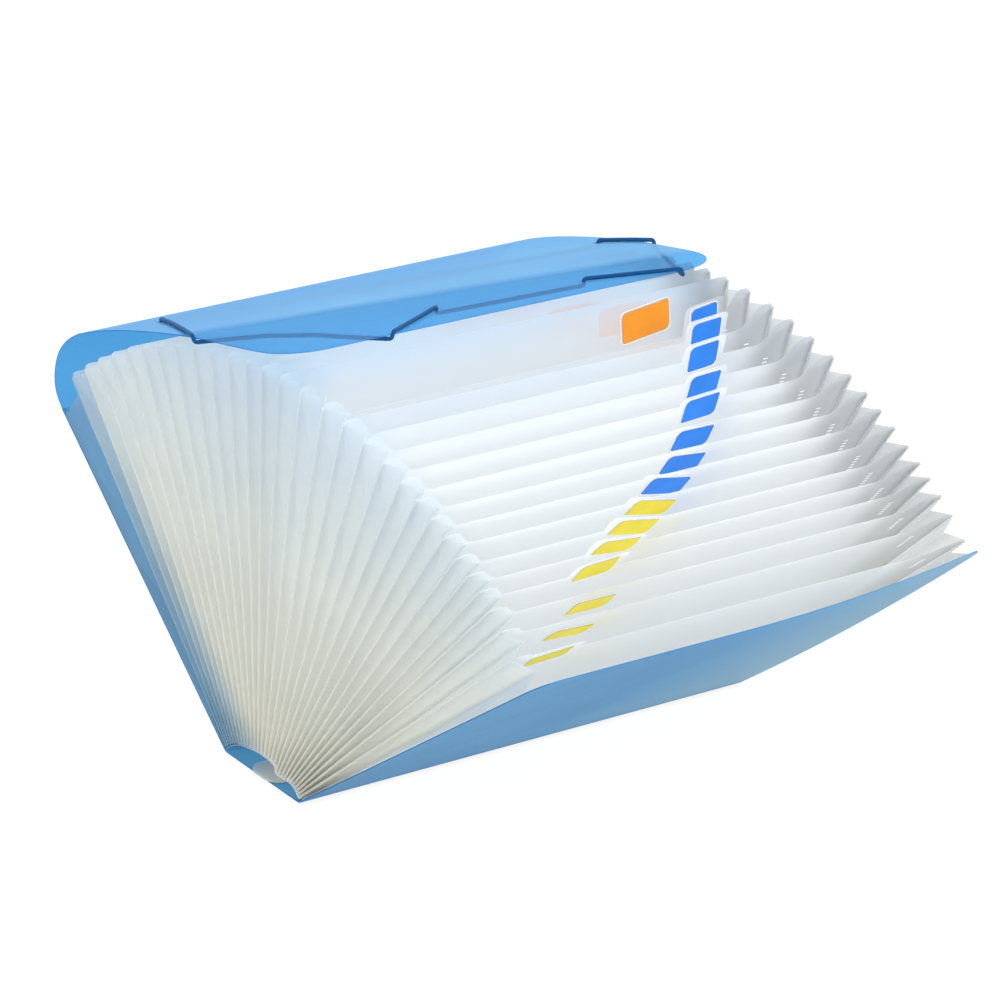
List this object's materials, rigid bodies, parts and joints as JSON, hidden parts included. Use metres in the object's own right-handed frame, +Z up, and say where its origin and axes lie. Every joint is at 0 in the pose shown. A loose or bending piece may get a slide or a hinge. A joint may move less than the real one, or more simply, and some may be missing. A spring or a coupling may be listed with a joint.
{
  "type": "expanding file folder",
  "caption": "Expanding file folder standing open on its spine: pleated translucent pockets fanned between two blue plastic covers, colour index labels, a flap and an elastic closing loop",
  "frame": {"origin": "centre of the underside of the spine, on which the folder stands", "axes": "+X along the spine towards the far end, +Y from the front cover towards the back cover, +Z up out of the pockets"},
  "size_m": [0.3367, 0.4692, 0.2666],
  "materials": {
    "cover_film": "translucent blue polypropylene sheet with a fine sandy texture",
    "pocket_film": "thin translucent white polypropylene film, satin",
    "label_blue": "smooth printed card",
    "label_yellow": "smooth printed card",
    "label_orange": "smooth printed card",
    "elastic": "braided round elastic cord"
  },
  "bodies": {
    "folder": {"cover": "cover_film", "near_gusset": "pocket_film", "far_gusset": "pocket_film", "base_strip": "pocket_film", "pocket_leaf_01": "pocket_film", "pocket_leaf_02": "pocket_film", "pocket_leaf_03": "pocket_film", "pocket_leaf_04": "pocket_film", "pocket_leaf_05": "pocket_film", "pocket_leaf_06": "pocket_film", "pocket_leaf_07": "pocket_film", "pocket_leaf_08": "pocket_film", "pocket_leaf_09": "pocket_film", "pocket_leaf_10": "pocket_film", "pocket_leaf_11": "pocket_film", "pocket_leaf_12": "pocket_film", "pocket_leaf_13": "pocket_film", "pocket_leaf_14": "pocket_film", "pocket_leaf_15": "pocket_film", "pocket_leaf_16": "pocket_film", "pocket_leaf_17": "pocket_film", "pocket_leaf_18": "pocket_film", "pocket_leaf_19": "pocket_film", "pocket_leaf_20": "pocket_film", "pocket_leaf_21": "pocket_film", "pocket_leaf_22": "pocket_film", "pocket_leaf_23": "pocket_film", "pocket_leaf_24": "pocket_film", "pocket_leaf_25": "pocket_film", "pocket_leaf_26": "pocket_film", "pocket_leaf_27": "pocket_film", "pocket_leaf_28": "pocket_film", "pocket_leaf_29": "pocket_film", "label_yellow_1": "label_yellow", "label_yellow_2": "label_yellow", "label_yellow_3": "label_yellow", "label_yellow_4": "label_yellow", "label_yellow_5": "label_yellow", "label_yellow_6": "label_yellow", "label_yellow_7": "label_yellow", "label_blue_1": "label_blue", "label_blue_2": "label_blue", "label_blue_3": "label_blue", "label_blue_4": "label_blue", "label_blue_5": "label_blue", "label_blue_6": "label_blue", "label_blue_7": "label_blue", "label_blue_8": "label_blue", "label_orange_1": "label_orange", "label_orange_2": "label_orange", "label_orange_3": "label_orange", "label_orange_4": "label_orange", "label_orange_5": "label_orange", "label_orange_6": "label_orange", "label_orange_7": "label_orange", "label_orange_8": "label_orange", "pocket_floor": "pocket_film"},
    "flap": {"flap": "cover_film", "elastic_loop": "elastic"}
  },
  "joints": [
    {"name": "flap_fold", "type": "hinge", "parent": "folder", "child": "flap", "pos_m": [0, 0.22011, 0.14385], "axis": [-1, 0, 0], "range_deg": [0, 110]}
  ]
}
